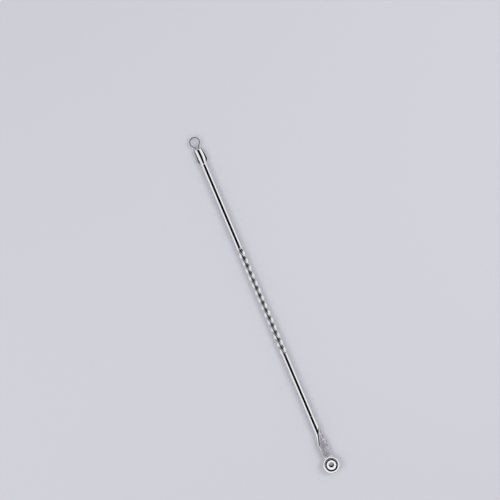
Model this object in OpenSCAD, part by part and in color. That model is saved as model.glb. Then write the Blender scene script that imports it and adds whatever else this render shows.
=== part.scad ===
/* [Bar] */
// Diameter of the round bar
bar_d = 2.4; // [2:0.1:4]
// Plain shank between the crimped tip and the grip
upper_shank_l = 32.3; // [10:0.1:60]
// Plain shank between the grip and the seam of the spoon head
lower_shank_l = 23.8; // [10:0.1:60]

/* [Rolled grip] */
// Length of the rope-like grip
grip_l = 41.3; // [20:0.1:60]
// Number of helical ridges side by side
grip_starts = 5; // [4:1:7]
// Distance along the bar from one ridge to the next
grip_pitch = 2.87; // [2:0.01:5]
// Depth of the grooves between the ridges
grip_groove = 0.22; // [0.1:0.01:0.3]

/* [Crimped tip] */
// Width over the two side wings at the end face
tip_w = 3.1; // [2.9:0.05:5]
// Width over the wings where they are broadest
tip_max_w = 3.6; // [3.1:0.05:6]
// Thickness of the wings
wing_t = 0.4; // [0.3:0.05:0.7]
// Width of the rounded core at the end face
core_w = 2.5; // [2.1:0.05:2.7]
// Thickness of the rounded core at the end face
core_t = 1.35; // [1.1:0.05:1.8]
// Radius of the die that crowns the core
crown_r = 1.9; // [1.6:0.1:4]
// Length from the end face to the broadest place
tip_flat_l = 3.9; // [2:0.1:8]
// Length of the slope back to the round bar
tip_slope_l = 1.9; // [1:0.1:5]
// Size of the broken edge round the end face
tip_edge = 0.15; // [0.05:0.05:0.15]

/* [Wire loop] */
// Diameter of the wire
wire_d = 0.5; // [0.3:0.05:0.7]
// Outer width of the loop
loop_w = 4; // [3.2:0.1:8]
// Straight length of each side between the ring and the bend at the tip
loop_side_l = 0.8; // [0.5:0.1:4]
// Radius of the bend where a side turns into the tip
loop_bend_r = 1.2; // [0.6:0.1:3]
// Distance between the centres of the two legs
leg_spacing = 0.9; // [0.8:0.05:1.4]
// Length of each leg inside the tip
leg_l = 3.6; // [2:0.1:5]
// Gap all round a leg in its socket
leg_clearance = 0.02; // [0.01:0.01:0.05]
// Diameter of the braze bead round each leg
bead_d = 1; // [0.9:0.05:1.05]
// Height of the braze beads on the end face
bead_h = 0.3; // [0.1:0.05:0.5]

/* [Spoon head] */
// Round root between the seam and the neck
root_l = 6.6; // [3:0.1:15]
// Length of the slope where the round root flattens into the neck
neck_slope_l = 4.5; // [2:0.1:10]
// Length of the flattened neck up to the edge of the cup
neck_flat_l = 4.6; // [2:0.1:10]
// Width of the neck where it is broadest
neck_max_w = 3.55; // [3:0.05:6]
// Width of the neck where it meets the cup
neck_end_w = 3.15; // [2.6:0.05:5]
// Thickness of the neck
neck_t = 1.3; // [0.9:0.05:1.6]
// Height of the neck's middle above the middle of the bar
neck_lift = 0.15; // [0:0.05:0.3]

/* [Cup] */
// Outer diameter of the cup at its rim
cup_d = 6.1; // [5:0.1:10]
// Height of the cup from its foot to its rim
cup_h = 2.4; // [2.2:0.1:4]
// Width of the rim
cup_rim_w = 0.55; // [0.4:0.05:0.8]
// Thickness of the floor above the foot
cup_floor_t = 0.75; // [0.5:0.05:1]
// Diameter of the flat foot under the cup
cup_foot_d = 2.8; // [2:0.1:4]
// Diameter of the hole through the floor
hole_d = 1.1; // [0.8:0.1:1.6]
// Size of the broken edge at both ends of the hole
hole_edge = 0.1; // [0.02:0.02:0.12]

/* [Spoon joint] */
// Diameter of the tang on the spoon head
tang_d = 1.4; // [1:0.05:1.6]
// Length of the tang from the seam
tang_l = 5; // [3:0.1:10]
// Gap all round the tang in its socket
tang_clearance = 0.02; // [0.01:0.01:0.05]
// Space left between the tang's end and the bottom of its socket
tang_end_gap = 0.1; // [0.05:0.05:0.5]
// Thickness of the braze in the seam
seam_t = 0.1; // [0.05:0.05:0.3]

/* [Hidden] */
$fn = 64;

// Cuts run past the faces that they open
over = 1;
// Steps in a rounded slope of the tip or the neck
slope_steps = 7;
// How far under the bar's surface the neck's flats start
flat_start = 0.01;
// How far over the bar's surface the crimping die runs out
crown_runout = 0.03;
// Sides of the wire's section, and steps in its ring and in each of its bends
wire_sides = 14;
ring_steps = 40;
bend_steps = 6;
// The ridges stay this much under the bar's own surface
ridge_relief = 0.005;

bar_r = bar_d / 2;
leg_y = leg_spacing / 2;

// The loop: from the ring's centre to the centre of the bend at the tip
ring_r = (loop_w - wire_d) / 2;
ring_to_bend = sqrt(pow(ring_r + loop_bend_r, 2) + pow(loop_side_l, 2));
loop_reach = sqrt(pow(ring_to_bend, 2) - pow(leg_y + loop_bend_r, 2));
// Direction, seen from the ring's centre, of the place where a straight side leaves the ring
side_angle = atan2(leg_y + loop_bend_r, loop_reach) + acos((ring_r + loop_bend_r) / ring_to_bend);

// Places along the tool, counted from the loop's outer edge
ring_s = loop_w / 2;
bend_s = ring_s + loop_reach;
tip_s = bend_s + bead_h;
tip_broad_s = tip_s + tip_flat_l;
tip_end_s = tip_broad_s + tip_slope_l;
grip_s = tip_end_s + upper_shank_l;
grip_end_s = grip_s + grip_l;
bar_end_s = grip_end_s + lower_shank_l;
seam_s = bar_end_s + seam_t;
neck_s = seam_s + root_l;
neck_broad_s = neck_s + neck_slope_l;
cup_edge_s = neck_broad_s + neck_flat_l;
cup_s = cup_edge_s + cup_d / 2;
total_l = cup_s + cup_d / 2;

// Grip section: one round ridge for each start, set so that neighbours meet in the groove
ridge_half_angle = 180 / grip_starts;
ridge_top_r = bar_r - ridge_relief;
groove_r = bar_r - grip_groove;
ridge_offset = (pow(ridge_top_r, 2) - pow(groove_r, 2))
    / (2 * (ridge_top_r - groove_r * cos(ridge_half_angle)));
grip_turns = grip_l / (grip_pitch * grip_starts);

// Cup: its outside and its inside are parts of two spheres, with a round lip between them
lip_r = cup_rim_w / 2;
lip_h = cup_h - lip_r;
inside_r = cup_d / 2 - cup_rim_w;
outside_centre = (pow(lip_h, 2) + pow(cup_d / 2, 2) - pow(cup_foot_d / 2, 2)) / (2 * lip_h);
outside_sphere_r = sqrt(pow(outside_centre, 2) + pow(cup_foot_d / 2, 2));
inside_centre = (pow(lip_h, 2) + pow(inside_r, 2) - pow(cup_floor_t, 2)) / (2 * (lip_h - cup_floor_t));
inside_sphere_r = inside_centre - cup_floor_t;
hole_top = inside_centre - sqrt(pow(inside_sphere_r, 2) - pow(hole_d / 2, 2));

// A smooth run of points from one half-width to another, without the first one
function eased(from, to, start, end) = [
    for (i = [1:slope_steps])
        [from + (to - from) * (1 - cos(180 * i / slope_steps)) / 2, start + (end - start) * i / slope_steps]
];

// The same points in the other order and on the other side
function mirrored(points) = [for (i = [len(points) - 1:-1:0]) [-points[i][0], points[i][1]]];

// Lays the tool down along X with its middle at the origin, resting on the ground
module laid() {
    translate([-total_l / 2, 0, bar_r])
        children();
}

// Turns a piece that is built upright so that it runs along the tool
module along() {
    rotate([0, 90, 0])
        children();
}

// A turned stretch squeezed between an upper and a lower die
module squeezed(width_line, upper_die, lower_die) {
    intersection() {
        rotate_extrude()
            polygon(concat([[0, width_line[0][1]]], width_line, [[0, width_line[len(width_line) - 1][1]]]));
        rotate([90, 0, 0])
            linear_extrude(height = tip_max_w + neck_max_w, center = true)
                polygon(concat(lower_die, mirrored(upper_die)));
    }
}

// One half of the crimping die: a round hollow that comes down towards the end face
module crown(side) {
    crimp_l = tip_end_s - tip_s;
    rise = bar_r + crown_runout - core_t / 2;
    translate([side * (core_t / 2 - crown_r), 0, tip_s])
        rotate([0, side * atan(rise / crimp_l), 0])
            translate([0, 0, -over])
                cylinder(r = crown_r, h = crimp_l + 2 * over);
}

// Tip that grips the wire: a crowned core, with a wing on each side where metal was squeezed out
module crimped_tip() {
    core_line = concat(
        [[0, tip_s], [core_w / 2 - tip_edge, tip_s], [core_w / 2, tip_s + tip_edge]],
        eased(core_w / 2, bar_r, tip_s + tip_edge, tip_end_s),
        [[0, tip_end_s]]
    );
    wing_line = concat(
        [[tip_w / 2 - tip_edge, tip_s], [tip_w / 2, tip_s + tip_edge]],
        eased(tip_w / 2, tip_max_w / 2, tip_s + tip_edge, tip_broad_s),
        eased(tip_max_w / 2, bar_r, tip_broad_s, tip_end_s)
    );
    wing_die = [[wing_t / 2, tip_s], [wing_t / 2, tip_end_s]];
    intersection() {
        rotate_extrude()
            polygon(core_line);
        crown(1);
        crown(-1);
    }
    squeezed(wing_line, wing_die, wing_die);
}

// Rope-like grip: the ridges wind left-handed round the bar
module rolled_grip() {
    slices_per_turn = 30;
    translate([0, 0, grip_s])
        linear_extrude(height = grip_l, twist = 360 * grip_turns, slices = ceil(slices_per_turn * grip_turns))
            for (i = [0:grip_starts - 1])
                rotate(i * 360 / grip_starts)
                    translate([ridge_offset, 0])
                        circle(r = ridge_top_r - ridge_offset, $fn = 20);
}

// The bar, with the wire's two sockets at one end and the tang's socket at the other
module handle_bar() {
    socket_s = seam_s - tang_l - tang_end_gap;
    color("silver")
        laid()
            along()
                difference() {
                    union() {
                        crimped_tip();
                        translate([0, 0, tip_end_s])
                            cylinder(d = bar_d, h = upper_shank_l);
                        rolled_grip();
                        translate([0, 0, grip_end_s])
                            cylinder(d = bar_d, h = lower_shank_l);
                    }
                    for (side = [-1, 1])
                        translate([0, side * leg_y, tip_s - over])
                            cylinder(d = wire_d + 2 * leg_clearance, h = leg_l + over);
                    translate([0, 0, socket_s])
                        cylinder(d = tang_d + 2 * tang_clearance, h = bar_end_s - socket_s + over);
                }
}

// Route of the wire's middle line, as places and headings: a leg, its bend and the ring
half_route = concat(
    [[tip_s + leg_l, leg_y, 180]],
    [
        for (i = [0:bend_steps])
            let (turn = 270 - (90 - side_angle) * i / bend_steps)
                [bend_s + loop_bend_r * cos(turn), leg_y + loop_bend_r * (1 + sin(turn)), turn - 90]
    ]
);
ring_route = [
    for (i = [0:ring_steps])
        let (turn = side_angle + (360 - 2 * side_angle) * i / ring_steps)
            [ring_s + ring_r * cos(turn), ring_r * sin(turn), turn + 90]
];
wire_route = concat(
    half_route,
    ring_route,
    [for (i = [len(half_route) - 1:-1:0]) [half_route[i][0], -half_route[i][1], 180 - half_route[i][2]]]
);

// Round section of the wire, square to its heading at one place of the route
function wire_section(place) = [
    for (i = [0:wire_sides - 1])
        let (turn = 360 * i / wire_sides, out = wire_d / 2 * cos(turn))
            [place[0] - out * sin(place[2]), place[1] + out * cos(place[2]), wire_d / 2 * sin(turn)]
];

// The wire: one leg, round the ring and back into the other leg
module wire_path() {
    last = len(wire_route) - 1;
    polyhedron(
        points = [for (place = wire_route) each wire_section(place)],
        faces = concat(
            [[for (i = [wire_sides - 1:-1:0]) i]],
            [
                for (k = [0:last - 1], i = [0:wire_sides - 1])
                    let (next = (i + 1) % wire_sides)
                        [
                            k * wire_sides + i,
                            k * wire_sides + next,
                            (k + 1) * wire_sides + next,
                            (k + 1) * wire_sides + i
                        ]
            ],
            [[for (i = [0:wire_sides - 1]) last * wire_sides + i]]
        ),
        convexity = 4
    );
}

module loop_wire() {
    color("lightgray")
        laid()
            wire_path();
}

// Two low beads of braze that run together round the legs on the tip's end face
module loop_braze() {
    bead_sphere_r = (pow(bead_d / 2, 2) + pow(bead_h, 2)) / (2 * bead_h);
    color("darkgray")
        laid()
            difference() {
                intersection() {
                    union() {
                        for (side = [-1, 1])
                            translate([tip_s - bead_h + bead_sphere_r, side * leg_y, 0])
                                sphere(r = bead_sphere_r);
                    }
                    translate([tip_s - bead_h, -bead_d - leg_y, -bead_d])
                        cube([bead_h, 2 * (bead_d + leg_y), 2 * bead_d]);
                }
                for (side = [-1, 1])
                    translate([tip_s - bead_h - over, side * leg_y, 0])
                        along()
                            cylinder(d = wire_d, h = bead_h + 2 * over);
            }
}

// Squeezed neck, from the round root to the middle of the cup
module neck() {
    width_line = concat(
        [[bar_r, neck_s]],
        eased(bar_r, neck_max_w / 2, neck_s, neck_broad_s),
        eased(neck_max_w / 2, neck_end_w / 2, neck_broad_s, cup_edge_s),
        [[neck_end_w / 2, cup_s]]
    );
    upper = neck_t / 2 + neck_lift;
    lower = neck_t / 2 - neck_lift;
    upper_die = concat(
        [[bar_r - flat_start, neck_s]],
        eased(bar_r - flat_start, upper, neck_s, neck_broad_s),
        [[upper, cup_s]]
    );
    lower_die = concat(
        [[bar_r - flat_start, neck_s]],
        eased(bar_r - flat_start, lower, neck_s, neck_broad_s),
        [[lower, cup_s]]
    );
    squeezed(width_line, upper_die, lower_die);
}

// Outside of the cup, cut flat at its foot
module cup_body() {
    intersection() {
        translate([0, 0, outside_centre])
            sphere(r = outside_sphere_r);
        cylinder(d = cup_d + over, h = lip_h);
    }
}

// Hole through the floor, with both of its edges broken
module cup_hole() {
    edge_over = hole_edge + over;
    translate([0, 0, -over])
        cylinder(d = hole_d, h = hole_top + 2 * over);
    translate([0, 0, -over])
        cylinder(d1 = hole_d + 2 * edge_over, d2 = hole_d, h = edge_over);
    translate([0, 0, hole_top - hole_edge])
        cylinder(d1 = hole_d, d2 = hole_d + 2 * edge_over, h = edge_over);
}

// The forged end: tang, round root, neck and cup
module spoon_head() {
    color("gainsboro")
        difference() {
            union() {
                difference() {
                    union() {
                        laid()
                            along() {
                                translate([0, 0, seam_s - tang_l])
                                    cylinder(d = tang_d, h = tang_l);
                                translate([0, 0, seam_s])
                                    cylinder(d = bar_d, h = root_l);
                                neck();
                            }
                        translate([cup_s - total_l / 2, 0, 0])
                            cup_body();
                    }
                    translate([cup_s - total_l / 2, 0, inside_centre])
                        sphere(r = inside_sphere_r);
                }
                translate([cup_s - total_l / 2, 0, lip_h])
                    rotate_extrude()
                        translate([cup_d / 2 - lip_r, 0])
                            circle(r = lip_r);
            }
            translate([cup_s - total_l / 2, 0, 0])
                cup_hole();
        }
}

// Thin ring of braze in the seam between the bar and the spoon head
module spoon_braze() {
    color("darkgray")
        laid()
            along()
                translate([0, 0, bar_end_s])
                    difference() {
                        cylinder(d = bar_d, h = seam_t);
                        translate([0, 0, -over])
                            cylinder(d = tang_d, h = seam_t + 2 * over);
                    }
}

handle_bar();
loop_wire();
loop_braze();
spoon_head();
spoon_braze();
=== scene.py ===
# %% [markdown]
# A blackhead extractor is a slim hand tool of polished steel with two working ends. One end is
# a small loop of spring wire, the other a tiny cup with a hole in its floor. Between them runs
# a round bar with a rope-like grip rolled into its middle. The CAD solids come in first as a
# fixed frame. Each visible piece is then made again as a finer mesh at the same size and place,
# because a mirror finish shows every facet that a coarse mesh has.

import math

import bmesh
import bpy
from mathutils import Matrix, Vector, noise


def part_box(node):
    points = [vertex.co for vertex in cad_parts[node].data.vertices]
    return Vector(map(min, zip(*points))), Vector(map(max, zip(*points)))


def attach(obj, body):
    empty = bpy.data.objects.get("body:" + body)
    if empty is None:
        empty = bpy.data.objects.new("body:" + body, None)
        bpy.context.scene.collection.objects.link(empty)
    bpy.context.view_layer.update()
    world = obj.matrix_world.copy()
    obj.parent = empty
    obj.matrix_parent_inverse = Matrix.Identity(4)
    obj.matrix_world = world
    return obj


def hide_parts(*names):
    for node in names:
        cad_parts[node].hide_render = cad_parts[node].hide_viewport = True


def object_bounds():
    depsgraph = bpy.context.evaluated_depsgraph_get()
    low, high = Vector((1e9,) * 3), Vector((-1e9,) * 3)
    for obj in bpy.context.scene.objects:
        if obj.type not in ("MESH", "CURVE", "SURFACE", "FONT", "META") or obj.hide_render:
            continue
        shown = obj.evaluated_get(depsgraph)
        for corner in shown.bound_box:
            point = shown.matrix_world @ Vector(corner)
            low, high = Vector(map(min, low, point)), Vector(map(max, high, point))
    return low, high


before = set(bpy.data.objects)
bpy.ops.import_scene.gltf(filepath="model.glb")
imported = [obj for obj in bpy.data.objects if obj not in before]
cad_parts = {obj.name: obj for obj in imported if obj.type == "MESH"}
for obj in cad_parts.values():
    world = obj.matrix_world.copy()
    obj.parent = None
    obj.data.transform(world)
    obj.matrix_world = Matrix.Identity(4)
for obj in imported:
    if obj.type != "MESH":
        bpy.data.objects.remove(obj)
cad_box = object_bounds()
MM = 0.001
print("CAD box in mm:", [round(c / MM, 3) for corner in cad_box for c in corner])

# %% [markdown]
# Sizes that the solids already hold are read from their boxes, so that nothing is typed twice.
# A place along the tool is counted in millimetres from the loop's outer edge, as a maker would
# mark it on the bar, and one function turns it into the frame's metres.

# %% Sizes from the frame
bar_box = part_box("handle_bar")
wire_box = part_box("loop_wire")
head_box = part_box("spoon_head")
seam_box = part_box("spoon_braze")


def span(box, axis):
    return (box[1][axis] - box[0][axis]) / MM


def station(x):
    return (x - cad_box[0].x) / MM


bar_r = span(bar_box, 2) / 2
wire_r = span(wire_box, 2) / 2
loop_w = span(wire_box, 1)
cup_r = span(head_box, 1) / 2
cup_h = span(head_box, 2)
tip_s = station(bar_box[0][0])
bar_end_s = station(bar_box[1][0])
seam_s = station(seam_box[1][0])
cup_s = station(head_box[1][0]) - cup_r
print("tip", round(tip_s, 3), "bar end", round(bar_end_s, 3), "cup", round(cup_s, 3))


def place(s, y, z):
    """A point of the frame from its station, its side step and its height over the bar's axis."""
    return Vector((cad_box[0].x + s * MM, y * MM, (bar_r + z) * MM))


# %% [markdown]
# Nearly every piece of this tool is a section carried along a line: a low roof in the crimped
# tip, a circle in the shank, five lands in the grip. Such a piece could be turned by a screw
# modifier or extruded by hand, but a loft of rings fits all of them: one closed ring of points
# for each place, quads between neighbours and a flat cap at each end. A ring that isn't a plain
# circle is laid out again in equal steps, so that the quads stay even.

# %% Rings and lofts
def even_ring(points, count):
    """The same closed outline with its points at equal distances."""
    closed = points + points[:1]
    lengths = [0.0]
    for a, b in zip(closed, closed[1:]):
        lengths.append(lengths[-1] + math.dist(a, b))
    ring, k = [], 0
    for i in range(count):
        goal = lengths[-1] * i / count
        while lengths[k + 1] < goal:
            k += 1
        step = lengths[k + 1] - lengths[k]
        part = (goal - lengths[k]) / step if step else 0.0
        a, b = closed[k], closed[k + 1]
        ring.append((a[0] + (b[0] - a[0]) * part, a[1] + (b[1] - a[1]) * part))
    return ring


def loft(name, rings, closed_run=False, crease=35):
    """A closed mesh through the rings, with flat caps unless the run closes on itself."""
    mesh = bpy.data.meshes.new(name)
    count = len(rings[0])
    verts = [point for ring in rings for point in ring]
    faces = []
    runs = len(rings) if closed_run else len(rings) - 1
    for k in range(runs):
        low, high = k * count, (k + 1) % len(rings) * count
        for i in range(count):
            j = (i + 1) % count
            faces.append((low + i, low + j, high + j, high + i))
    if not closed_run:
        faces.append(tuple(range(count))[::-1])
        faces.append(tuple(range(len(verts) - count, len(verts))))
    mesh.from_pydata(verts, [], faces)
    return finished(name, mesh, crease)


def finished(name, mesh, crease):
    """Points the faces outwards, shades them smooth and keeps true edges sharp."""
    bm = bmesh.new()
    bm.from_mesh(mesh)
    bmesh.ops.recalc_face_normals(bm, faces=bm.faces)
    bm.to_mesh(mesh)
    bm.free()
    mesh.shade_smooth()
    mesh.set_sharp_from_angle(angle=math.radians(crease))
    mesh.update()
    piece = bpy.data.objects.new(name, mesh)
    bpy.context.scene.collection.objects.link(piece)
    print(name, "faces:", len(mesh.polygons))
    return piece


def smooth(t):
    """0 to 1 with a soft start and a soft end."""
    t = min(max(t, 0.0), 1.0)
    return t * t * (3 - 2 * t)


def between(a, b, t):
    return a + (b - a) * t


def circle(radius, count, start=0.0):
    turns = [start + math.tau * i / count for i in range(count)]
    return [(radius * math.cos(a), radius * math.sin(a)) for a in turns]


# %% [markdown]
# Sockets and holes are drilled with a boolean, as on the real pieces. The modifier is put on,
# the evaluated mesh is kept in its place and the cutter is thrown away, so that the piece is a
# plain mesh again and nothing is left that could change later.

# %% Joining and drilling
def boolean(piece, tool, operation, crease=35):
    modifier = piece.modifiers.new(operation.lower(), "BOOLEAN")
    modifier.object = tool
    modifier.operation = operation
    modifier.solver = "EXACT"
    graph = bpy.context.evaluated_depsgraph_get()
    mesh = bpy.data.meshes.new_from_object(piece.evaluated_get(graph))
    piece.modifiers.clear()
    old, piece.data = piece.data, mesh
    bpy.data.meshes.remove(old)
    bpy.data.meshes.remove(tool.data)
    mesh.set_sharp_from_angle(angle=math.radians(crease))
    print(piece.name, "after", operation.lower(), "faces:", len(mesh.polygons))


def rod(name, start_s, end_s, radius, y=0.0, count=32):
    """A plain round cutter along the tool."""
    ends = [[place(s, y + a, b) for a, b in circle(radius, count)] for s in (start_s, end_s)]
    return loft(name, ends)


# %% [markdown]
# The tip was squeezed over the wire's two legs. The die left a low roof with a rounded ridge and
# pushed metal out into a thin wing on each side. Seen from above, the sloping faces mirror the
# bright surroundings, and the ridge and the flat wings mirror the dark room overhead: that gives
# the tip its middle stripe and its two black outlines. The ridge sinks towards the end in a long
# hollow curve with a short steep step beside the shank, where the dark stripe breaks off. The
# section is the higher one of roof and wing at each side step, with a small fillet between.

# %% Crimped tip
core_t, core_w = 1.35, 2.5
tip_w, tip_max_w, wing_t = 3.1, 3.6, 0.4
tip_flat_l, tip_slope_l = 3.9, 1.9
crimp_l = tip_flat_l + tip_slope_l
crimp_shift = 0.14
fillet_r = 0.07
wing_edge_r = 0.09
step_l, step_h = 0.36, 0.11
hollow_power = 2.9
ridge_arc_r = 1.25
ridge_arc_y = 0.5
fade_start = tip_flat_l * 0.8
outline_steps = 240
hair = 0.001


def crown_height(s):
    """Height of the tip's ridge over the axis."""
    run = s - tip_s
    rise = bar_r - step_h - core_t / 2
    hollow_l = crimp_l - step_l
    height = core_t / 2 + rise * min(run / hollow_l, 1.0) ** hollow_power
    return height + step_h * smooth((run - hollow_l) / step_l)


def wing_reach(s):
    """Half the width over the wings."""
    run = s - tip_s
    if run < tip_flat_l:
        return between(tip_w, tip_max_w, smooth(run / tip_flat_l)) / 2
    return between(tip_max_w / 2, bar_r, smooth((run - tip_flat_l) / tip_slope_l))


def soft_max(a, b, radius):
    """The larger of two heights, rounded where they are nearly the same."""
    gap = max(radius - abs(a - b), 0.0)
    return max(a, b) + gap * gap / (4 * radius)


def roof(y, ridge):
    """Height of the roof at a side step: a round ridge, then a straight face down to the wing."""
    drop = ridge_arc_r - math.sqrt(ridge_arc_r ** 2 - min(y, ridge_arc_y) ** 2)
    if y > ridge_arc_y:
        foot = ridge - drop - wing_t / 2
        drop += foot * (y - ridge_arc_y) / (core_w / 2 - ridge_arc_y)
    return ridge - drop


def tip_outline(s):
    ridge = crown_height(s)
    reach = wing_reach(s)
    run = (s - tip_s) / crimp_l
    fade = 1 - smooth((s - tip_s - fade_start) / (crimp_l - fade_start))
    shift = crimp_shift * math.sin(math.pi * run)
    half_t = wing_t / 2

    def height(y):
        y = abs(y)
        round_top = math.sqrt(max(bar_r ** 2 - y * y, 0.0)) - (bar_r - ridge)
        core = max(between(round_top, roof(y, ridge), fade), 0.0)
        side = (y - (reach - wing_edge_r)) / wing_edge_r
        wing = half_t * math.sqrt(max(1 - max(side, 0.0) ** 2, 0.0))
        if reach <= bar_r + hair:
            return core
        return soft_max(core, wing, fillet_r * fade + hair) if y < reach - wing_edge_r else wing

    ys = [reach * math.cos(math.pi * i / outline_steps) for i in range(outline_steps + 1)]
    top = [(y, height(y)) for y in ys]
    bottom = [(y, -z) for y, z in reversed(top[1:-1])]
    return [(y + shift, z) for y, z in top + bottom]


bar_points = 200
tip_edge = 0.15


def shrunk(ring, amount):
    """A ring drawn in by about the same amount all round."""
    reach_y = max(abs(y) for y, z in ring)
    reach_z = max(abs(z) for y, z in ring)
    return [(y * (1 - amount / reach_y), z * (1 - amount / reach_z)) for y, z in ring]


bar_rings = []
edge_steps = 5
for i in range(edge_steps):
    turn = math.pi / 2 * i / edge_steps
    ring = even_ring(tip_outline(tip_s), bar_points)
    s = tip_s + tip_edge * (1 - math.cos(turn))
    bar_rings.append((s, shrunk(ring, tip_edge * (1 - math.sin(turn)))))
tip_steps = 64
for i in range(tip_steps + 1):
    s = between(tip_s + tip_edge, tip_s + crimp_l, i / tip_steps)
    bar_rings.append((s, even_ring(tip_outline(s), bar_points)))
print("tip rings:", len(bar_rings))

# %% [markdown]
# The grip was rolled between dies, which pressed five grooves that wind left-handed round the
# bar and left a land of the bar's own roundness between each two. A displacement texture could
# fake it, but the outline of the tool shows the waves, so the section is real: five arcs with a
# blunt, uneven vee between neighbours, one flank about twice as wide as the other, because the
# dies pushed the metal one way. From above, the lands keep the bar's dark middle stripe and the
# grooves cut it into slanted dashes with white lumps on one side. The rings turn as they go, so
# that each line of the mesh runs along a groove and never across it. At both ends the grooves
# come up to the round bar within a short run, as they do where the dies stop.

# %% Rolled grip
upper_shank_l, grip_l = 32.3, 41.3
grip_s = tip_s + crimp_l + upper_shank_l
grip_starts, grip_pitch = 5, 2.87
ridge_relief = 0.005
run_in_l = 0.5
land_offset = 0.02
land_r = bar_r - ridge_relief - land_offset
wide_flank, narrow_flank = 0.42, 0.2
groove_depth, groove_soft = 0.26, 0.05
ring_gap = 0.02
grip_turns = grip_l / (grip_pitch * grip_starts)


def grip_radius(angle):
    """Distance from the axis to the rolled surface, for an angle from a land's middle."""
    sector = math.tau / grip_starts
    past_bottom = angle % sector - sector / 2
    away = sector / 2 - abs(past_bottom)
    radius = land_offset * math.cos(away) + math.sqrt(
        land_r ** 2 - (land_offset * math.sin(away)) ** 2)
    flank = narrow_flank if past_bottom > 0 else wide_flank
    across = abs(past_bottom) * radius / flank
    return radius - groove_depth * soft_max(1 - across, 0.0, groove_soft)


def turned(count, turn):
    return [math.tau * i / count - turn for i in range(count)]


def grip_ring(s):
    turn = math.tau * (s - grip_s) / (grip_pitch * grip_starts)
    inside = min(s - grip_s, grip_s + grip_l - s)
    depth = smooth(inside / run_in_l)
    ring = []
    for a in turned(bar_points, turn):
        radius = between(bar_r, grip_radius(a + math.pi / 2 + turn), depth)
        ring.append((radius * math.cos(a), radius * math.sin(a)))
    return ring


round_ring = circle(bar_r, bar_points)
shank_steps = 8
for i in range(1, shank_steps + 1):
    s = between(tip_s + crimp_l, grip_s - ring_gap, i / shank_steps)
    bar_rings.append((s, round_ring))
grip_step = 0.2
grip_steps = round(grip_l / grip_step)
for i in range(grip_steps + 1):
    s = grip_s + grip_l * i / grip_steps
    bar_rings.append((s, grip_ring(s)))
grip_end_s = grip_s + grip_l
end_turn = math.tau * grip_turns
end_ring = circle(bar_r, bar_points, -end_turn)
for s in (grip_end_s + ring_gap, between(grip_end_s, bar_end_s, 0.5)):
    bar_rings.append((s, end_ring))
print("grip from", round(grip_s, 2), "to", round(grip_end_s, 2), "turns:", round(grip_turns, 2))

# %% [markdown]
# The bar ends in a small broken edge at the seam of the spoon head. With the last ring in place
# the loft makes the whole bar, and the booleans drill the two sockets of the wire's legs and the
# blind socket of the tang. The new mesh then stands for the CAD bar, which stays hidden.

# %% The bar
seam_edge = 0.04
bar_rings.append((bar_end_s - seam_edge, end_ring))
bar_rings.append((bar_end_s, circle(bar_r - seam_edge, bar_points, -end_turn)))
bar = loft("polished_bar", [[place(s, y, z) for y, z in ring] for s, ring in bar_rings])

leg_spacing, leg_l, leg_clearance = 0.9, 3.6, 0.02
tang_r, tang_l, tang_clearance, tang_end_gap = 0.7, 5.0, 0.02, 0.1
overshoot = 1
for side in (-1, 1):
    socket = rod("leg_socket", tip_s - overshoot, tip_s + leg_l,
                 wire_r + leg_clearance, side * leg_spacing / 2)
    boolean(bar, socket, "DIFFERENCE")
tang_socket = rod("tang_socket", seam_s - tang_l - tang_end_gap, bar_end_s + overshoot,
                  tang_r + tang_clearance)
boolean(bar, tang_socket, "DIFFERENCE")
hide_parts("handle_bar")
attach(bar, "root")

# %% [markdown]
# The loop is one length of round spring wire: a leg in its socket, a bend, three quarters of a
# ring and the same back again. A curve with a round bevel would do, but its ends and the exact
# radius of each bend are easier to hold in code. So the route is laid out as places with a
# heading, straight lines and true arcs, and a circle square to the heading is carried along it.

# %% Loop wire
ring_r = loop_w / 2 - wire_r
loop_bend_r, loop_side_l = 1.2, 0.8
leg_y = leg_spacing / 2
ring_to_bend = math.hypot(ring_r + loop_bend_r, loop_side_l)
loop_reach = math.sqrt(ring_to_bend ** 2 - (leg_y + loop_bend_r) ** 2)
side_angle = math.atan2(leg_y + loop_bend_r, loop_reach) + math.acos(
    (ring_r + loop_bend_r) / ring_to_bend)
ring_s = loop_w / 2
bend_s = ring_s + loop_reach

leg_steps, bend_steps, ring_steps = 6, 14, 120
half_route = [
    (between(tip_s + leg_l, bend_s, i / leg_steps), leg_y, math.pi) for i in range(leg_steps)]
for i in range(bend_steps + 1):
    turn = math.pi * 1.5 - (math.pi / 2 - side_angle) * i / bend_steps
    x, y = bend_s + loop_bend_r * math.cos(turn), leg_y + loop_bend_r * (1 + math.sin(turn))
    half_route.append((x, y, turn - math.pi / 2))
ring_route = []
for i in range(ring_steps + 1):
    turn = side_angle + (math.tau - 2 * side_angle) * i / ring_steps
    x, y = ring_s + ring_r * math.cos(turn), ring_r * math.sin(turn)
    ring_route.append((x, y, turn + math.pi / 2))
route = half_route + ring_route + [(s, -y, math.pi - h) for s, y, h in reversed(half_route)]

wire_sides = 28
wire_rings = []
for s, y, heading in route:
    wire_rings.append([
        place(s - out * math.sin(heading), y + out * math.cos(heading), up)
        for out, up in circle(wire_r, wire_sides)])
wire = loft("spring_wire", wire_rings)
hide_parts("loop_wire")
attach(wire, "root")
wire_l = sum(math.dist(a[:2], b[:2]) for a, b in zip(route, route[1:]))
print("wire length in mm:", round(wire_l, 1))

# %% [markdown]
# Where the legs enter the tip, braze has wicked out and set as two low beads that run together.
# A bead is a dome over an oblong outline that is slightly waisted between the legs. It is lofted
# from rings that draw in towards the wires while they rise, it is made a little uneven with
# noise, and the two wires are then cut out of it.

# %% Braze bead at the loop
bead_r, bead_h = 0.5, 0.29
bead_top_r = wire_r + 0.05
bead_waist = 0.3
bead_points, bead_steps, bead_half_steps = 64, 12, 60
bead_bump, bumps_across, bumps_up = 0.012, 5, 9


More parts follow.
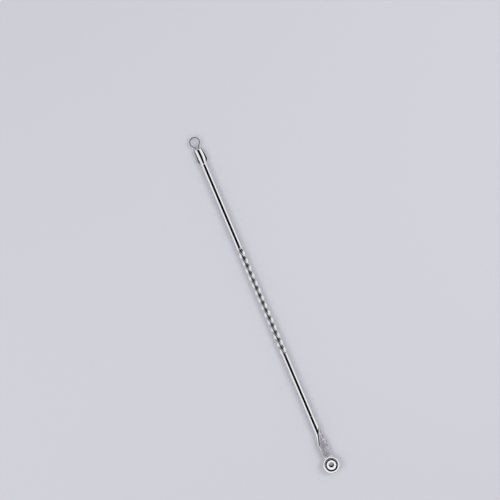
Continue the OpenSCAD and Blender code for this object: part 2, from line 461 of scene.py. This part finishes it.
def bead_outline(radius):
    """Half circles round the two legs, joined by waisted sides."""
    half = []
    for i in range(bead_half_steps):
        a = math.pi * (i / bead_half_steps - 0.5)
        half.append((leg_y + radius * math.cos(a), radius * math.sin(a)))
    for i in range(bead_half_steps):
        y = leg_y * (1 - 2 * i / bead_half_steps)
        waist = bead_waist * math.cos(math.pi / 2 * y / leg_y) ** 2
        half.append((y, radius * (1 - waist)))
    return even_ring(half + [(-y, -z) for y, z in half], bead_points)


bead_rings = []
for k in range(bead_steps + 1):
    turn = math.pi / 2 * k / bead_steps
    rise = bead_h * math.sin(turn)
    ring = []
    for y, z in bead_outline(between(bead_top_r, bead_r, math.cos(turn))):
        spot = Vector((y * bumps_across, z * bumps_across, rise * bumps_up))
        bump = bead_bump * noise.noise(spot) * math.sin(2 * turn)
        ring.append(place(tip_s - rise + bump, y, z))
    bead_rings.append(ring)
bead = loft("loop_bead", bead_rings, crease=50)
for side in (-1, 1):
    cut = rod("bead_cut", tip_s - overshoot, tip_s + overshoot, wire_r, side * leg_y, wire_sides)
    boolean(bead, cut, "DIFFERENCE", 50)
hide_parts("loop_braze")
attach(bead, "root")

# %% [markdown]
# The spoon head was forged: a round tang and root, a neck hammered flat and a cup that was spun
# and drilled. The cup is a turned shape, so its profile is drawn once, from the foot up the
# outside, over the bevelled rim and down the inside to the hole, and carried round the cup's
# axis. The inside is part of a sphere. A mirror sphere sends light from overhead back up where
# its wall stands at 45 degrees, and that place is the black ring seen inside the rim.

# %% Cup
cup_rim_w, cup_foot_r = 0.55, 1.4
hole_r, hole_edge = 0.55, 0.1
rim_edge_r, rim_bevel_deg = 0.12, 28
bowl_r, bowl_top, bowl_floor = 2.42, 2.15, 0.65
outside_steps, rim_steps, bowl_steps, hole_steps = 22, 14, 24, 4
lip_r = cup_rim_w / 2
lip_h = cup_h - lip_r
outside_centre = (lip_h ** 2 + cup_r ** 2 - cup_foot_r ** 2) / (2 * lip_h)
outside_sphere_r = math.hypot(outside_centre, cup_foot_r)
inside_centre = (bowl_top ** 2 + bowl_r ** 2 - bowl_floor ** 2) / (2 * (bowl_top - bowl_floor))
inside_sphere_r = inside_centre - bowl_floor


def arc(centre, radius, start, end, steps):
    """Points of a round stretch, without the last one. Angles are in degrees."""
    turns = [math.radians(between(start, end, i / steps)) for i in range(steps)]
    return [(centre[0] + radius * math.cos(a), centre[1] + radius * math.sin(a)) for a in turns]


def slope_angle(point, centre):
    return math.degrees(math.atan2(point[1] - centre[1], point[0] - centre[0]))


outside = (0, outside_centre)
inside = (0, inside_centre)
rim_centre = (cup_r - lip_r, lip_h)
rim_edge = (cup_r - rim_edge_r, cup_h - rim_edge_r)
hole_top = inside_centre - math.sqrt(inside_sphere_r ** 2 - (hole_r + hole_edge) ** 2)
cup_profile = [(hole_r + hole_edge, 0)]
cup_profile += arc(outside, outside_sphere_r, slope_angle((cup_foot_r, 0), outside),
                   slope_angle((cup_r, lip_h), outside), outside_steps)
cup_profile.append((cup_r, lip_h))
cup_profile += arc(rim_edge, rim_edge_r, 0, 90 + rim_bevel_deg, rim_steps)
bevel_turn = math.radians(90 + rim_bevel_deg)
cup_profile.append((rim_edge[0] + rim_edge_r * math.cos(bevel_turn),
                    rim_edge[1] + rim_edge_r * math.sin(bevel_turn)))
cup_profile += arc(inside, inside_sphere_r, slope_angle((bowl_r, bowl_top), inside),
                   slope_angle((hole_r + hole_edge, hole_top), inside), bowl_steps)
for i in range(hole_steps + 1):
    a = math.radians(90 * i / hole_steps)
    cup_profile.append((hole_r + hole_edge * (1 - math.sin(a)),
                        hole_top - hole_edge * (1 - math.cos(a))))
for i in range(hole_steps):
    a = math.radians(90 * i / hole_steps)
    cup_profile.append((hole_r + hole_edge * (1 - math.cos(a)), hole_edge * (1 - math.sin(a))))

cup_steps = 144
cup_rings = []
for i in range(cup_steps):
    a = math.tau * i / cup_steps
    cup_rings.append([
        place(cup_s + r * math.cos(a), r * math.sin(a), h - bar_r) for r, h in cup_profile])
head = loft("spoon_head_forging", cup_rings, closed_run=True)

# %% [markdown]
# The neck leaves the round root and widens as the hammer flattens it. Its section is a rounded
# oblong between a circle and a box, which a power of the sine and cosine gives, with a slight
# crown on top. The hammer also rolled it a little to one side, so that its flat leans to the
# right and the dark stripe of the root runs out along its left edge.

# %% Neck
neck_s = seam_s + 6.6
neck_slope_l, neck_flat_l = 4.5, 4.6
neck_max_w, neck_end_w, neck_t, neck_lift = 3.55, 3.15, 1.3, 0.15
neck_crown = 0.05
neck_edge_power = 3.2
neck_fillet = 0.36
neck_roll_deg, neck_end_roll_deg = 14, 7
roll_lead = 2.5
neck_points, neck_fine_points = 96, 360


def wall_radius(height):
    """The cup's outer radius at a height over the foot."""
    if height < lip_h:
        return math.sqrt(outside_sphere_r ** 2 - (height - outside_centre) ** 2)
    return rim_centre[0] + math.sqrt(max(lip_r ** 2 - (height - lip_h) ** 2, 0.0))


def neck_ring(s):
    slope = smooth((s - neck_s) / neck_slope_l)
    flat = smooth((s - neck_s - neck_slope_l) / neck_flat_l)
    half_w = between(between(bar_r, neck_max_w / 2, slope), neck_end_w / 2, flat)
    half_t = between(bar_r, neck_t / 2, slope)
    lift = neck_lift * slope
    power = between(2.0, neck_edge_power, slope)
    roll = math.radians(between(neck_roll_deg, neck_end_roll_deg, flat))
    roll *= smooth((s - neck_s + roll_lead) / (neck_slope_l + roll_lead))
    ring = []
    for i in range(neck_fine_points):
        a = math.tau * i / neck_fine_points
        c, d = math.cos(a), math.sin(a)
        y = half_w * math.copysign(abs(c) ** (2 / power), c)
        z = half_t * math.copysign(abs(d) ** (2 / power), d)
        z += neck_crown * slope * (1 - (y / half_w) ** 2) * (1 if d > 0 else 0) + lift
        ring.append((y * math.cos(roll) + z * math.sin(roll),
                     z * math.cos(roll) - y * math.sin(roll)))
    return even_ring(ring, neck_points)


def outward(ring, i):
    """The direction square to the outline at one of its points."""
    (y0, z0), (y1, z1) = ring[i - 1], ring[(i + 1) % len(ring)]
    length = math.dist((y0, z0), (y1, z1))
    return (z1 - z0) / length, -(y1 - y0) / length


def round_neck_ring(s, radius):
    return [place(s, y, z) for y, z in circle(radius, neck_points)]


tang_edge = 0.05
neck_rings = [
    round_neck_ring(seam_s - tang_l, tang_r - tang_edge),
    round_neck_ring(seam_s - tang_l + tang_edge, tang_r),
    round_neck_ring(seam_s, tang_r),
    round_neck_ring(seam_s, bar_r - seam_edge),
    round_neck_ring(seam_s + seam_edge, bar_r)]
root_steps = 6
for i in range(1, root_steps + 1):
    neck_rings.append(round_neck_ring(between(seam_s + seam_edge, neck_s, i / root_steps), bar_r))
print("root from", round(seam_s, 2), "to", round(neck_s, 2), "rings:", len(neck_rings))

# %% [markdown]
# The neck flows into the cup's wall with a hollow fillet. Its rings are flat sections at first.
# Near the cup each ring bends until all its points are equally far from the curved wall, and
# there the fillet flares out. The last rings lie inside the wall, so one boolean joins neck and
# cup into a single forging.

# %% Neck up to the cup
wall_s = cup_s - cup_r
bend_l, bend_pace, into_wall = 1.6, 1.4, 0.25
below_rim = 0.02
bend_start_s = wall_s - bend_l
neck_steps, bent_steps = 60, 26
for i in range(1, neck_steps + 1):
    s = between(neck_s, bend_start_s, i / neck_steps)
    neck_rings.append([place(s, y, z) for y, z in neck_ring(s)])


def fillet_flare(away):
    """How far the fillet stands out from the neck at a distance from the wall."""
    if away >= neck_fillet:
        return 0.0
    depth = min(neck_fillet - away, neck_fillet)
    return neck_fillet - math.sqrt(neck_fillet ** 2 - depth ** 2)


for i in range(1, bent_steps + 1):
    t = i / bent_steps
    away = between(wall_s - bend_start_s, -into_wall, t)
    bend = smooth(t * bend_pace)
    flare = fillet_flare(away)
    base = neck_ring(min(between(bend_start_s, wall_s, t), wall_s))
    ring = []
    for k, (y, z) in enumerate(base):
        ny, nz = outward(base, k)
        y, z = y + ny * flare, min(z + nz * flare, cup_h - bar_r - rim_edge_r)
        radius = wall_radius(min(z + bar_r, cup_h - below_rim))
        wall = cup_s - math.sqrt(max(radius ** 2 - y * y, 0.0))
        ring.append(place(between(wall_s - away, wall - away, bend), y, z))
    neck_rings.append(ring)
neck = loft("neck", neck_rings)
boolean(head, neck, "UNION", 40)
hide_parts("spoon_head")
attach(head, "root")

# %% [markdown]
# A thin ring of silver braze fills the seam between bar and head. It lies a hair below the
# surface, as a joint does after polishing. A hollow section carried once round the axis gives a
# closed ring with a slightly dished outside.

# %% Braze ring
dish, tang_gap = 0.02, 0.005
seam_steps, seam_turns = 8, 96
ring_profile = []
for i in range(seam_steps + 1):
    t = i / seam_steps
    radius = bar_r - seam_edge - dish * math.sin(math.pi * t)
    ring_profile.append((between(bar_end_s, seam_s, t), radius))
ring_profile += [(seam_s, tang_r + tang_gap), (bar_end_s, tang_r + tang_gap)]
braze_rings = []
for i in range(seam_turns):
    a = math.tau * i / seam_turns
    braze_rings.append([place(s, r * math.cos(a), r * math.sin(a)) for s, r in ring_profile])
seam = loft("seam_ring", braze_rings, closed_run=True, crease=50)
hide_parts("spoon_braze")
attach(seam, "root")

# %% [markdown]
# Materials are node trees. One small helper adds a node, sets its values and links its inputs,
# and one function turns a colour as it is written for screens into the linear numbers that a
# renderer works with. Scales come from real millimetres: a texture that repeats every tenth of
# a millimetre has a scale of one over a tenth of a millimetre.

# %% Helpers for materials
def linear(hex_colour):
    """An sRGB hex colour as linear red, green, blue and alpha."""
    values = []
    for k in (1, 3, 5):
        c = int(hex_colour[k:k + 2], 16) / 255
        values.append(c / 12.92 if c <= 0.04045 else ((c + 0.055) / 1.055) ** 2.4)
    return (*values, 1.0)


def add(tree, kind, settings=None, **inputs):
    """Adds a node. Settings are its properties, inputs are values or sockets to link."""
    made = tree.nodes.new(kind)
    for key, value in (settings or {}).items():
        setattr(made, key, value)
    for key, value in inputs.items():
        name = key.replace("_", " ")
        target = made.inputs[int(key[1:])] if key[1:].isdigit() else made.inputs[name]
        if isinstance(value, bpy.types.NodeSocket):
            tree.links.new(value, target)
        else:
            target.default_value = value
    return made


def per_mm(size):
    """Texture scale for a feature of this many millimetres, with coordinates in metres."""
    return 1 / (size * MM)


def new_material(name):
    material = bpy.data.materials.new(name)
    material.use_nodes = True
    tree = material.node_tree
    tree.nodes.clear()
    return material, tree


def finish_material(tree, shader):
    output = add(tree, "ShaderNodeOutputMaterial")
    tree.links.new(shader.outputs["BSDF"], output.inputs["Surface"])


def dress(piece, material):
    piece.data.materials.clear()
    piece.data.materials.append(material)
    print(piece.name, "wears", material.name)


# %% [markdown]
# The bar is steel, buffed to a mirror and bright plated. A buffed bar isn't perfect: fine lines
# run round it from the wheel, and handling leaves thin scratches and a trace of haze. Real
# lines are a few hundredths of a millimetre apart, too fine to show in a picture of the whole
# tool, so they are drawn about four times as coarse, and they only tilt the surface a little.

# %% Mirror-buffed steel
scratch_mm, haze_mm = 0.22, 6
haze_roughness, haze_darkening = 0.05, 0.94
line_stretch, scratch_stretch = 0.08, 0.12


def buffed_steel(name, colour, roughness, line_mm=0.09, line_depth=0.0006):
    material, tree = new_material(name)
    spot = add(tree, "ShaderNodeTexCoord").outputs["Object"]
    lines = add(tree, "ShaderNodeMapping", Vector=spot, Scale=(1.0, line_stretch, line_stretch))
    wheel = add(tree, "ShaderNodeTexNoise", Vector=lines.outputs[0], Scale=per_mm(line_mm),
                Detail=3.0, Roughness=0.6)
    marks = add(tree, "ShaderNodeMapping", Vector=spot, Scale=(scratch_stretch, 1.0, 1.0),
                Rotation=(0.2, 0.35, 0.5))
    scratch = add(tree, "ShaderNodeTexNoise", Vector=marks.outputs[0], Scale=per_mm(scratch_mm),
                  Detail=2.0)
    haze = add(tree, "ShaderNodeTexNoise", Vector=spot, Scale=per_mm(haze_mm), Detail=4.0,
               Roughness=0.6)
    hazy = add(tree, "ShaderNodeMapRange", Value=haze.outputs["Fac"], From_Min=0.35, From_Max=0.7,
               To_Min=roughness, To_Max=roughness + haze_roughness)
    both = add(tree, "ShaderNodeMath", {"operation": "MULTIPLY_ADD"},
               i0=scratch.outputs["Fac"], i1=0.5, i2=wheel.outputs["Fac"])
    bump = add(tree, "ShaderNodeBump", Height=both.outputs[0], Strength=0.25,
               Distance=line_depth * MM)
    tint = add(tree, "ShaderNodeMapRange", Value=haze.outputs["Fac"], From_Min=0.3, From_Max=0.75)
    darker = (*(c * haze_darkening for c in linear(colour)[:3]), 1.0)
    tones = add(tree, "ShaderNodeMix", {"data_type": "RGBA"}, Factor=tint.outputs[0],
                i6=linear(colour), i7=darker)
    shader = add(tree, "ShaderNodeBsdfPrincipled", Base_Color=tones.outputs[2], Metallic=1.0,
                 Roughness=hazy.outputs[0], Normal=bump.outputs[0])
    finish_material(tree, shader)
    return material


steel_colour = "#E3E2E6"
dress(bar, buffed_steel("mirror_buffed_steel", steel_colour, 0.035))

# %% [markdown]
# The wire is bright drawn spring steel. Drawing through a die leaves a satin gloss with faint
# lines along the wire, so it mirrors less sharply than the bar and looks a tone darker.

# %% Drawn spring wire
dress(wire, buffed_steel("drawn_spring_wire", "#A6A7AD", 0.17, line_mm=0.06, line_depth=0.0012))

# %% [markdown]
# Silver braze sets with a soft, slightly yellow sheen and a grainy skin. Its real grain is a few
# hundredths of a millimetre. It is drawn a few times as coarse, so that the small bead still
# shows it, and it is not polished like the steel beside it.

# %% Silver braze
braze_grain_mm = 0.12


def braze_metal():
    material, tree = new_material("silver_braze")
    spot = add(tree, "ShaderNodeTexCoord").outputs["Object"]
    grain = add(tree, "ShaderNodeTexNoise", Vector=spot, Scale=per_mm(braze_grain_mm),
                Detail=5.0, Roughness=0.7)
    tones = add(tree, "ShaderNodeMix", {"data_type": "RGBA"}, Factor=grain.outputs["Fac"],
                i6=linear("#C9C5BC"), i7=linear("#A9A69F"))
    rough = add(tree, "ShaderNodeMapRange", Value=grain.outputs["Fac"], To_Min=0.28, To_Max=0.5)
    bump = add(tree, "ShaderNodeBump", Height=grain.outputs["Fac"], Strength=0.6,
               Distance=0.01 * MM)
    shader = add(tree, "ShaderNodeBsdfPrincipled", Base_Color=tones.outputs[2], Metallic=1.0,
                 Roughness=rough.outputs[0], Normal=bump.outputs[0])
    finish_material(tree, shader)
    return material


silver_braze = braze_metal()
dress(bead, silver_braze)
dress(seam, silver_braze)

# %% [markdown]
# The head carries two finishes in one piece. Its root and its cup are buffed like the bar, but
# the flattened neck keeps the matte skin that the hammer and the pickling bath left. A buffing
# wheel leaves no straight border, so the place along the tool is shifted with noise and leans
# with the side step, and smooth ramps over that place give two masks: where the skin is left,
# and where it is pitted most.

# %% Where the forged skin is left
ragged_mm, border_mm = 0.6, 0.9
border_lean = 3.5
skin_start_s, skin_start_l = neck_s + 0.6, 1.0
skin_end_s, skin_end_l = wall_s - 0.1, 0.25
pits_end_s, pits_end_l = neck_s + 4.6, 2.0
pits_left = 0.6


def ramp(tree, along, start_s, length):
    """0 before a station, 1 after a further length, for a place in metres that noise shifted."""
    low = place(start_s, 0, 0).x + ragged_mm / 2 * MM
    return add(tree, "ShaderNodeMapRange", {"interpolation_type": "SMOOTHSTEP"},
               Value=along, From_Min=low, From_Max=low + length * MM).outputs[0]


def skin_masks(tree, spot):
    """How far the skin is left, and how far it is pitted, each from 0 to 1."""
    axes = add(tree, "ShaderNodeSeparateXYZ", Vector=spot)
    ragged = add(tree, "ShaderNodeTexNoise", Vector=spot, Scale=per_mm(border_mm), Detail=4.0)
    along = add(tree, "ShaderNodeMath", {"operation": "MULTIPLY_ADD"}, i0=ragged.outputs["Fac"],
                i1=ragged_mm * MM, i2=axes.outputs["X"]).outputs[0]
    leaning = add(tree, "ShaderNodeMath", {"operation": "MULTIPLY_ADD"},
                  i0=axes.outputs["Y"], i1=border_lean, i2=along).outputs[0]
    skin = add(tree, "ShaderNodeMath", {"operation": "SUBTRACT", "use_clamp": True},
               i0=ramp(tree, leaning, skin_start_s, skin_start_l),
               i1=ramp(tree, along, skin_end_s, skin_end_l)).outputs[0]
    fewer = add(tree, "ShaderNodeMath", {"operation": "MULTIPLY"},
                i0=ramp(tree, along, pits_end_s, pits_end_l), i1=1 - pits_left).outputs[0]
    pitted = add(tree, "ShaderNodeMath", {"operation": "SUBTRACT", "use_clamp": True},
                 i0=skin, i1=fewer).outputs[0]
    return skin, pitted


print("skin from", round(skin_start_s, 2), "to", round(skin_end_s, 2), "mm along the tool")

# %% [markdown]
# Pits are where scale was hammered in and the bath ate it out again. Voronoi cells give one pit
# each: the distance to the cell's middle, divided by a size of the cell's own, is small in the
# pit and large between pits. Noise pulls the spots about first, so that the pits are torn and
# not round. Real pits are a tenth or two of a millimetre wide. They are drawn a few times as
# coarse, because finer ones don't show in a picture of the whole tool.

# %% Pits
pit_mm, pit_ragged_mm, tear_mm = 0.55, 1.0, 0.35
smallest_pit, largest_pit = 0.45, 1.5


def pit_reach(tree, spot):
    """Distance from a pit's middle, in pit sizes."""
    wobble = add(tree, "ShaderNodeTexNoise", Vector=spot, Scale=per_mm(tear_mm), Detail=5.0,
                 Roughness=0.7)
    torn = add(tree, "ShaderNodeVectorMath", {"operation": "MULTIPLY_ADD"},
               i0=wobble.outputs["Color"], i1=(pit_ragged_mm * MM,) * 3, i2=spot)
    cells = add(tree, "ShaderNodeTexVoronoi", Vector=torn.outputs[0], Scale=per_mm(pit_mm))
    chance = add(tree, "ShaderNodeSeparateColor", Color=cells.outputs["Color"])
    size = add(tree, "ShaderNodeMapRange", Value=chance.outputs[0],
               To_Min=smallest_pit, To_Max=largest_pit)
    return add(tree, "ShaderNodeMath", {"operation": "DIVIDE"},
               i0=cells.outputs["Distance"], i1=size.outputs[0]).outputs[0]


print("pits:", round(span(head_box, 0) / pit_mm), "cells along the head")

# %% [markdown]
# The skin is a cool light grey with a fine grain, and rough enough to scatter what it mirrors.
# The pits go deep, and their bottoms are coloured dark grey. Between them the metal still catches
# specks of light, so the pitted part is less rough than the even, matte part by the cup. One
# shader mixes both finishes with the masks, because root, neck and cup are one piece of metal.

# %% Forged and buffed head
grain_mm, skin_depth = 0.16, 0.045
pit_over_grain = 5.0
mirror_roughness, matte_roughness, pitted_roughness = 0.04, 0.85, 0.45


def forged_head():
    material, tree = new_material("forged_and_buffed_steel")
    spot = add(tree, "ShaderNodeTexCoord").outputs["Object"]
    skin, pitted = skin_masks(tree, spot)
    reach = pit_reach(tree, spot)
    grain = add(tree, "ShaderNodeTexNoise", Vector=spot, Scale=per_mm(grain_mm), Detail=6.0,
                Roughness=0.65).outputs["Fac"]

    rise = add(tree, "ShaderNodeMapRange", {"interpolation_type": "SMOOTHSTEP"},
               Value=reach, From_Min=0.05, From_Max=0.45)
    pit_rise = add(tree, "ShaderNodeMath", {"operation": "MULTIPLY"},
                   i0=rise.outputs[0], i1=pitted)
    grain_rise = add(tree, "ShaderNodeMath", {"operation": "MULTIPLY"}, i0=grain, i1=skin)
    height = add(tree, "ShaderNodeMath", {"operation": "MULTIPLY_ADD"},
                 i0=pit_rise.outputs[0], i1=pit_over_grain, i2=grain_rise.outputs[0])
    bump = add(tree, "ShaderNodeBump", Height=height.outputs[0], Strength=0.9,
               Distance=skin_depth * MM)

    skin_rough = add(tree, "ShaderNodeMapRange", Value=pitted,
                     To_Min=matte_roughness, To_Max=pitted_roughness)
    rough = add(tree, "ShaderNodeMapRange", Value=skin,
                To_Min=mirror_roughness, To_Max=skin_rough.outputs[0])

    # The bottom of each pit is coloured dark grey, most where the bump sinks deepest.
    bottom = add(tree, "ShaderNodeMapRange", {"interpolation_type": "SMOOTHSTEP"},
                 Value=reach, From_Min=0.08, From_Max=0.55, To_Min=1.0, To_Max=0.0)
    dark_pit_bottom = add(tree, "ShaderNodeMath", {"operation": "MULTIPLY"},
                     i0=bottom.outputs[0], i1=pitted)
    clean = add(tree, "ShaderNodeMix", {"data_type": "RGBA"}, Factor=grain,
                i6=linear("#ECE8F0"), i7=linear("#CFCBD6"))
    pit_darkened = add(tree, "ShaderNodeMix", {"data_type": "RGBA"}, Factor=dark_pit_bottom.outputs[0],
                  i6=clean.outputs[2], i7=linear("#403C48"))
    tones = add(tree, "ShaderNodeMix", {"data_type": "RGBA"}, Factor=skin,
                i6=linear(steel_colour), i7=pit_darkened.outputs[2])
    shader = add(tree, "ShaderNodeBsdfPrincipled", Base_Color=tones.outputs[2], Metallic=1.0,
                 Roughness=rough.outputs[0], Normal=bump.outputs[0])
    finish_material(tree, shader)
    return material


dress(head, forged_head())

# %% [markdown]
# The tool lies on a plain pale floor. The floor is a large matt square at the height that the
# bar and the cup's foot rest on, and it takes the tool's soft shadow.

# %% Floor
floor_colour = "#D3D3DB"
floor_half = 1.5
fibre_mm = 1.2
floor_mesh = bpy.data.meshes.new("floor")
corners = [(-1, -1), (1, -1), (1, 1), (-1, 1)]
floor_points = [(x * floor_half, y * floor_half, cad_box[0].z) for x, y in corners]
floor_mesh.from_pydata(floor_points, [], [(0, 1, 2, 3)])
floor = bpy.data.objects.new("floor", floor_mesh)
bpy.context.scene.collection.objects.link(floor)
paper, paper_tree = new_material("matt_paper")
paper_spot = add(paper_tree, "ShaderNodeTexCoord").outputs["Object"]
fibre = add(paper_tree, "ShaderNodeTexNoise", Vector=paper_spot, Scale=per_mm(fibre_mm),
            Detail=4.0)
paper_bump = add(paper_tree, "ShaderNodeBump", Height=fibre.outputs["Fac"], Strength=0.15,
                 Distance=0.02 * MM)
finish_material(paper_tree, add(
    paper_tree, "ShaderNodeBsdfPrincipled", Base_Color=linear(floor_colour), Roughness=0.8,
    Specular_IOR_Level=0.2, Normal=paper_bump.outputs[0]))
dress(floor, paper)

# %% [markdown]
# Polished metal has no look of its own, it shows the room. A photographer lays such a tool in a
# ring of white diffusers and leaves a dark opening overhead for the camera. The world does the
# same here: a mirror ray that goes up steeply meets the dark opening, one that goes out to the
# side meets white. All other rays see an even soft light, so colours come out as written.

# %% World
opening_deg, opening_edge_deg = 38, 5
opening_level, diffuser_level, sky_level = 0.004, 1.15, 0.66
world = bpy.data.worlds.new("diffuser_ring")
bpy.context.scene.world = world
world.use_nodes = True
sky = world.node_tree
sky.nodes.clear()
direction = add(sky, "ShaderNodeTexCoord").outputs["Generated"]
up = add(sky, "ShaderNodeSeparateXYZ", Vector=direction).outputs["Z"]
opening = add(sky, "ShaderNodeMapRange", {"interpolation_type": "SMOOTHSTEP"}, Value=up,
              From_Min=math.cos(math.radians(opening_deg + opening_edge_deg)),
              From_Max=math.cos(math.radians(opening_deg)),
              To_Min=diffuser_level, To_Max=opening_level)
rays = add(sky, "ShaderNodeLightPath")
mirrored = add(sky, "ShaderNodeBackground", Color=linear("#FFFFFF"), Strength=opening.outputs[0])
even = add(sky, "ShaderNodeBackground", Color=linear("#FFFFFF"), Strength=sky_level)
backdrop = add(sky, "ShaderNodeBackground", Color=linear(floor_colour), Strength=1.0)
lit = add(sky, "ShaderNodeMixShader", Fac=rays.outputs["Is Glossy Ray"])
sky.links.new(even.outputs[0], lit.inputs[1])
sky.links.new(mirrored.outputs[0], lit.inputs[2])
seen = add(sky, "ShaderNodeMixShader", Fac=rays.outputs["Is Camera Ray"])
sky.links.new(lit.outputs[0], seen.inputs[1])
sky.links.new(backdrop.outputs[0], seen.inputs[2])
sky_out = add(sky, "ShaderNodeOutputWorld")
sky.links.new(seen.outputs[0], sky_out.inputs["Surface"])
print("dark opening overhead, degrees across:", 2 * opening_deg)

# %% [markdown]
# Two wide lamps low on either side give the floor its pair of soft shadows. They light matt
# surfaces only: the mirror finish already has its diffusers in the world, and a second, bright
# copy would wash out the dark stripe on the bar.

# %% Lamps
def soft_lamp(name, azimuth_deg, elevation_deg, distance, size, power):
    lamp = bpy.data.lights.new(name, "AREA")
    lamp.shape = "DISK"
    lamp.size = size
    lamp.energy = power
    holder = bpy.data.objects.new(name, lamp)
    a, e = math.radians(azimuth_deg), math.radians(elevation_deg)
    away = Vector((math.cos(a) * math.cos(e), math.sin(a) * math.cos(e), math.sin(e)))
    holder.location = away * distance
    holder.rotation_mode = "QUATERNION"
    holder.rotation_quaternion = away.to_track_quat("Z", "Y")
    holder.visible_glossy = False
    bpy.context.scene.collection.objects.link(holder)
    print(name, "degrees round:", azimuth_deg, "degrees up:", elevation_deg)
    return holder


soft_lamp("window_side", 90, 50, 0.5, 0.28, 0.62)
soft_lamp("room_side", -90, 50, 0.5, 0.28, 0.5)

# %% [markdown]
# The picture was taken from straight above, so the camera looks down. Its turn about the
# vertical and the point below it place the tool where it lies in the photograph, which is 500
# pixels square with 2.8 pixels to a millimetre.

# %% Camera
pixels, pixels_per_mm = 500, 2.8
camera_turn_deg = 67.01
aim_mm = (-19.88, 3.20)
camera_data = bpy.data.cameras.new("camera")
camera_data.lens = 85
camera_data.sensor_width = 36
field = pixels / pixels_per_mm * MM
camera = bpy.data.objects.new("camera", camera_data)
camera_height = bar_r * MM + field * camera_data.lens / camera_data.sensor_width
camera.location = (aim_mm[0] * MM, aim_mm[1] * MM, camera_height)
camera.rotation_euler = (0, 0, math.radians(camera_turn_deg))
bpy.context.scene.collection.objects.link(camera)
bpy.context.scene.camera = camera
bpy.context.scene.view_settings.view_transform = "Standard"
print("camera height in mm:", round(camera_height / MM, 1))
